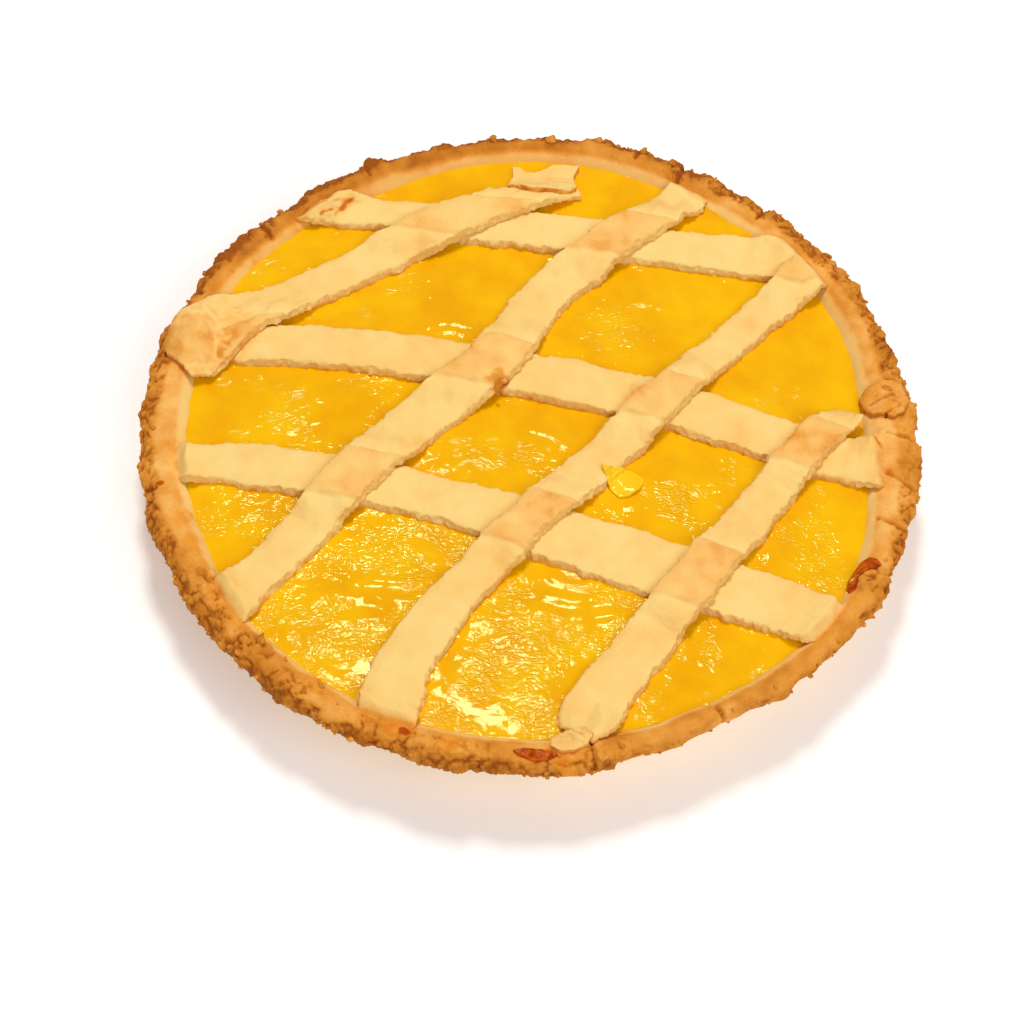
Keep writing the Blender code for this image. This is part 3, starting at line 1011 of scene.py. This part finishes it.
class TART_OT_curd_bits(bpy.types.Operator):
    """Model the flake of curd on a strip and the spots where curd boiled over"""

    bl_idname = "tart.curd_bits"
    bl_label = "Curd flake and baked spots"
    bl_options = {"REGISTER", "UNDO"}

    def execute(self, context):
        below = surface_tree([o for o in bpy.data.objects if o.name.startswith("tart_")])
        fine = {"thickness": 1.5, "mesh_size": 0.0003, "rounds": 5}
        flake = laid_piece("tart_curd_flake", FLAKE, below, sink=0.2, stiffness=2.0, **fine)
        sculpt(flake, flake_rule)
        finish_piece(flake, flake_finish(), ["curd_flake"])
        for node, outline in (("baked_curd_right", CRESCENT), ("baked_curd_front", SLIT)):
            spot = laid_piece("tart_" + node, outline, below, sink=0.5, stiffness=1.0, **fine)
            sculpt(spot, scrap_rule(11, relief=0.4, tone=0.0, low_tone=0.0, low=0))
            finish_piece(spot, baked_curd_finish(), [node])
        return {"FINISHED"}


# Crumbs.

# Places of the large crumbs that stand on the rim's edge: x and y in mm.
RIM_CRUMBS = [(-18, 140), (5, 141), (23, 139), (42, 137), (53, 131), (97, 103), (125, 56), (127, 47)]

# The little heap of crumbs where two strips cross: x and y in mm, and how many.
HEAP_X, HEAP_Y, HEAP_COUNT = -12, 17, 16


def crumb_shape(name, seed):
    """One crumb about 1 mm across, as a model for the copies."""
    bpy.ops.object.select_all(action="DESELECT")
    bpy.ops.mesh.primitive_ico_sphere_add(subdivisions=2, radius=0.5)
    piece = bpy.context.active_object
    piece.name = name
    for vert in piece.data.vertices:
        vert.co *= 1 + 0.9 * noise.noise(vert.co * 2.6 + Vector((seed, seed, 0)))
        vert.co.z *= 0.7
    return piece


def crumb_copy(model, place, size, turn):
    """A copy of a crumb with its own mesh, of this size in mm, at a place in mm."""
    piece = model.copy()
    piece.data = model.data.copy()
    bpy.context.scene.collection.objects.link(piece)
    piece.data.transform(Matrix.Translation(place * MM) @ turn @ Matrix.Scale(size * MM, 4))
    return piece


class TART_OT_crumbs(bpy.types.Operator):
    """Scatter crumbs round the rim's edge and where two strips cross"""

    bl_idname = "tart.crumbs"
    bl_label = "Crumbs"
    bl_options = {"REGISTER", "UNDO"}

    def execute(self, context):
        draw = random.Random(12)
        crust = bpy.data.objects["tart_crust"]
        tree = surface_tree([crust])
        models = [crumb_shape(f"crumb_{k}", 3.7 * k) for k in range(4)]
        crumbs = []

        def drop(place, size):
            turn = Matrix.Rotation(draw.uniform(0, 6.28), 4, draw.choice("XYZ"))
            crumbs.append(crumb_copy(draw.choice(models), place, size, turn))

        for _ in range(context.scene.tart_shape.crumb_count):
            angle = draw.uniform(-math.pi, math.pi)
            level = RIM_TOP - draw.uniform(0.0, 7.5)
            out = Vector((math.cos(angle), math.sin(angle), 0))
            hit = tree.ray_cast(out * OUTSIDE + Vector((0, 0, level)), -out)[0]
            if hit:
                size = draw.uniform(0.9, 2.4) * draw.uniform(0.6, 1.0)
                drop(hit + out * 0.05 * size, size)
        for x, y in RIM_CRUMBS:
            out = Vector((x, y, 0)).normalized()
            hit = tree.ray_cast(out * OUTSIDE + Vector((0, 0, RIM_TOP - 1)), -out)[0]
            drop(hit - out * 0.4 + Vector((0, 0, 0.8)), draw.uniform(2.6, 3.8))
        for _ in range(HEAP_COUNT):
            x, y = HEAP_X + draw.gauss(0, 1.8), HEAP_Y + draw.gauss(0, 2.4)
            place = Vector((x, y, CURD_TOP + 5))
            place.z -= 0.35 * abs(place.x + 14)
            drop(place, draw.uniform(1.1, 2.4))
        for model in models:
            bpy.data.objects.remove(model)
        pick(*crumbs)
        bpy.ops.object.join()
        piece = context.active_object
        piece.name = "tart_crumbs"
        sculpt(piece, lambda place, normal: (place, 0.76 + 0.16 * lumps(place, 6, 2.0), 0.0))
        finish_piece(piece, crust_finish())
        return {"FINISHED"}


# The stage.


# Each light's place, the point it looks at, and its width and height, in metres, and its colour.
# The window light is small and stands behind the tart, so that it glints in the wet curd.
WINDOW_LIGHT = ((-0.06, 0.44, 1.3), (0, -0.02, 0), (0.24, 0.32), (1, 0.97, 0.93))
FILL_LIGHT = ((0.5, -0.9, 1.1), (0, 0, 0), (1.2, 0.8), (1, 1, 1))


def soft_light(name, place, aim, size, colour, power):
    """A softbox that looks at a point."""
    data = bpy.data.lights.new(name, "AREA")
    data.shape = "RECTANGLE"
    data.size, data.size_y = size
    data.energy = power
    data.color = colour
    lamp = bpy.data.objects.new(name, data)
    bpy.context.scene.collection.objects.link(lamp)
    lamp.location = place
    lamp.rotation_euler = (Vector(aim) - Vector(place)).to_track_quat("-Z", "Y").to_euler()


class TART_OT_stage(bpy.types.Operator):
    """Set a white floor, soft studio light and a camera that looks down on the tart"""

    bl_idname = "tart.stage"
    bl_label = "Studio"
    bl_options = {"REGISTER", "UNDO"}

    def execute(self, context):
        stage = context.scene.tart_stage
        bpy.ops.object.select_all(action="DESELECT")
        bpy.ops.mesh.primitive_plane_add(size=FLOOR_SIZE, location=(0, 0, 0))
        floor = context.active_object
        floor.name = "studio_floor"
        paper, tree, shader, place = new_material("white_paper", Roughness=0.8)
        speck = noise_of(tree, place, 60.0)
        stops = ((0.3, linear("F6F6F6")), (0.7, linear("FAFAFA")))
        tone = add(tree, "ShaderNodeValToRGB", {"Fac": speck}, stops=stops)
        tree.links.new(tone.outputs["Color"], shader.inputs["Base Color"])
        shader.inputs["Emission Color"].default_value = (1.0, 1.0, 1.0, 1.0)
        shader.inputs["Emission Strength"].default_value = stage.floor_glow
        floor.data.materials.append(paper)

        world = bpy.data.worlds.new("studio_air")
        context.scene.world = world
        world.use_nodes = True
        air = world.node_tree.nodes["Background"]
        air.inputs["Color"].default_value = (1.0, 1.0, 1.0, 1.0)
        air.inputs["Strength"].default_value = stage.air_light
        soft_light("window_light", *WINDOW_LIGHT, stage.key_power)
        soft_light("fill_light", *FILL_LIGHT, stage.fill_power)
        context.scene.view_settings.view_transform = "Standard"

        lift, roll = math.radians(stage.elevation), math.radians(stage.roll)
        back = Vector((0, -math.cos(lift), math.sin(lift)))
        right, up = Vector((1, 0, 0)), Vector((0, math.sin(lift), math.cos(lift)))
        across = math.cos(roll) * right + math.sin(roll) * up
        upward = math.cos(roll) * up - math.sin(roll) * right
        spot = Vector((0, 0, stage.aim_height)) + stage.distance * back
        spot -= stage.shift_right * across + stage.shift_up * upward
        data = bpy.data.cameras.new("studio_camera")
        data.lens = stage.lens
        data.sensor_width = 36.0
        data.clip_start = 0.01
        camera = bpy.data.objects.new("studio_camera", data)
        context.scene.collection.objects.link(camera)
        turned = Matrix((across, upward, back)).transposed()
        camera.matrix_world = Matrix.Translation(spot) @ turned.to_4x4()
        context.scene.camera = camera
        return {"FINISHED"}


# Settings, panel and registration.


def plain_value(name, description, default, unit="NONE"):
    """A setting that is one number."""
    return FloatProperty(name=name, description=description, default=default, unit=unit)


def length_value(name, description, default):
    """A setting that is a length in metres."""
    return plain_value(name, description, default, "LENGTH")


def colour_value(name, description, code):
    """A setting that is a colour, from its sRGB hex code."""
    look = {"subtype": "COLOR", "size": 4, "min": 0, "max": 1}
    return FloatVectorProperty(name=name, description=description, default=linear(code), **look)


class TartShape(bpy.types.PropertyGroup):
    """Sizes of the tart's fine relief"""

    crumb_depth: length_value("Crumb depth", "How deep the rim's crumbly edge is cut", 0.001)
    ragged_depth: length_value("Ragged edge", "How far the strips' cut edges stand in and out", 0.0009)
    wrinkle_height: length_value("Curd wrinkles", "Height of the fine wrinkles in the curd", 0.00022)
    curd_overlap: length_value("Curd overlap", "How far the curd reaches into the crust", 0.0009)
    strip_mesh: length_value("Strip mesh", "Size of the faces of a strip's skin", 0.00055)
    curd_cells: IntProperty(name="Curd cells", description="Cells across the curd", default=290)
    crumb_count: IntProperty(name="Crumbs", description="Crumbs round the rim's edge", default=200)


class TartColours(bpy.types.PropertyGroup):
    """Colours of the baked dough and of the curd"""

    dough_pale: colour_value("Pale dough", "Dough that hardly coloured", "FBD685")
    dough_gold: colour_value("Golden dough", "Dough as it is on most of a strip", "FACB76")
    dough_toasted: colour_value("Toasted dough", "Dough where strips cross", "F8BC66")
    crust_gold: colour_value("Golden crust", "Crust on top of the rim", "E99B3B")
    crust_brown: colour_value("Brown crust", "Crust near the rim's outer edge", "CF8023")
    # The darkest crust shows mostly in the rim's creases and cracks, where painted shade adds to the
    # browned tone.
    crust_dark: colour_value("Dark crust", "Crust in the rim's crevices", "A2540F")
    leak_orange: colour_value("Leaked curd", "Curd that soaked into the pastry", "F3A02A")
    curd_deep: colour_value("Deep curd", "Curd where it is thick", "EDA602")
    curd_bright: colour_value("Bright curd", "Curd where it catches the light", "F7BD04")
    curd_flake: colour_value("Dried curd", "The thin flake of curd on a strip", "FFD024")
    caramel_dark: colour_value("Dark caramel", "Burnt middle of a baked spot", "942F04")
    caramel_bright: colour_value("Bright caramel", "Edge of a baked spot", "D8630F")


class TartStage(bpy.types.PropertyGroup):
    """Light and camera"""

    elevation: plain_value("Elevation", "Camera above the horizon, in degrees", 55.5)
    roll: plain_value("Roll", "Camera's roll, in degrees", 2.0)
    distance: length_value("Distance", "From the camera to the tart's top", 0.83)
    aim_height: length_value("Aim height", "Height of the point aimed at", 0.031)
    shift_right: length_value("Aim right", "How far right of the picture's middle the tart is", 0.006359)
    shift_up: length_value("Aim up", "How far above the picture's middle the tart is", 0.030197)
    lens: plain_value("Lens", "Focal length in mm on a 36 mm sensor", 84.615)
    air_light: plain_value("Air light", "Strength of light from all round", 0.36)
    floor_glow: plain_value("Floor glow", "How much the paper is lit from below", 0.16)
    key_power: plain_value("Window light", "Power of the main light", 9.1, "POWER")
    fill_power: plain_value("Fill light", "Power of the front light", 8.5, "POWER")


GROUPS = {"tart_shape": TartShape, "tart_colours": TartColours, "tart_stage": TartStage}
OPERATORS = [
    TART_OT_crust,
    TART_OT_curd,
    TART_OT_strips,
    TART_OT_scraps,
    TART_OT_curd_bits,
    TART_OT_crumbs,
    TART_OT_stage,
]


class TART_PT_panel(bpy.types.Panel):
    """Buttons and settings for the lemon tart"""

    bl_label = "Lemon tart"
    bl_idname = "TART_PT_panel"
    bl_space_type = "VIEW_3D"
    bl_region_type = "UI"
    bl_category = "Lemon tart"

    def draw(self, context):
        for operator in OPERATORS:
            self.layout.operator(operator.bl_idname)
        for group, kind in GROUPS.items():
            box = self.layout.box()
            for setting in kind.__annotations__:
                box.prop(getattr(context.scene, group), setting)


def register():
    for cls in [*GROUPS.values(), *OPERATORS, TART_PT_panel]:
        bpy.utils.register_class(cls)
    for name, kind in GROUPS.items():
        setattr(bpy.types.Scene, name, PointerProperty(type=kind))


def unregister():
    for name in GROUPS:
        delattr(bpy.types.Scene, name)
    for cls in [TART_PT_panel, *reversed(OPERATORS), *GROUPS.values()]:
        bpy.utils.unregister_class(cls)


def main():
    """Makes every piece in order."""
    register()
    bpy.ops.tart.crust()
    bpy.ops.tart.curd()
    bpy.ops.tart.strips()
    bpy.ops.tart.scraps()
    bpy.ops.tart.curd_bits()
    bpy.ops.tart.crumbs()
    bpy.ops.tart.stage()


if __name__ == "__main__":
    main()
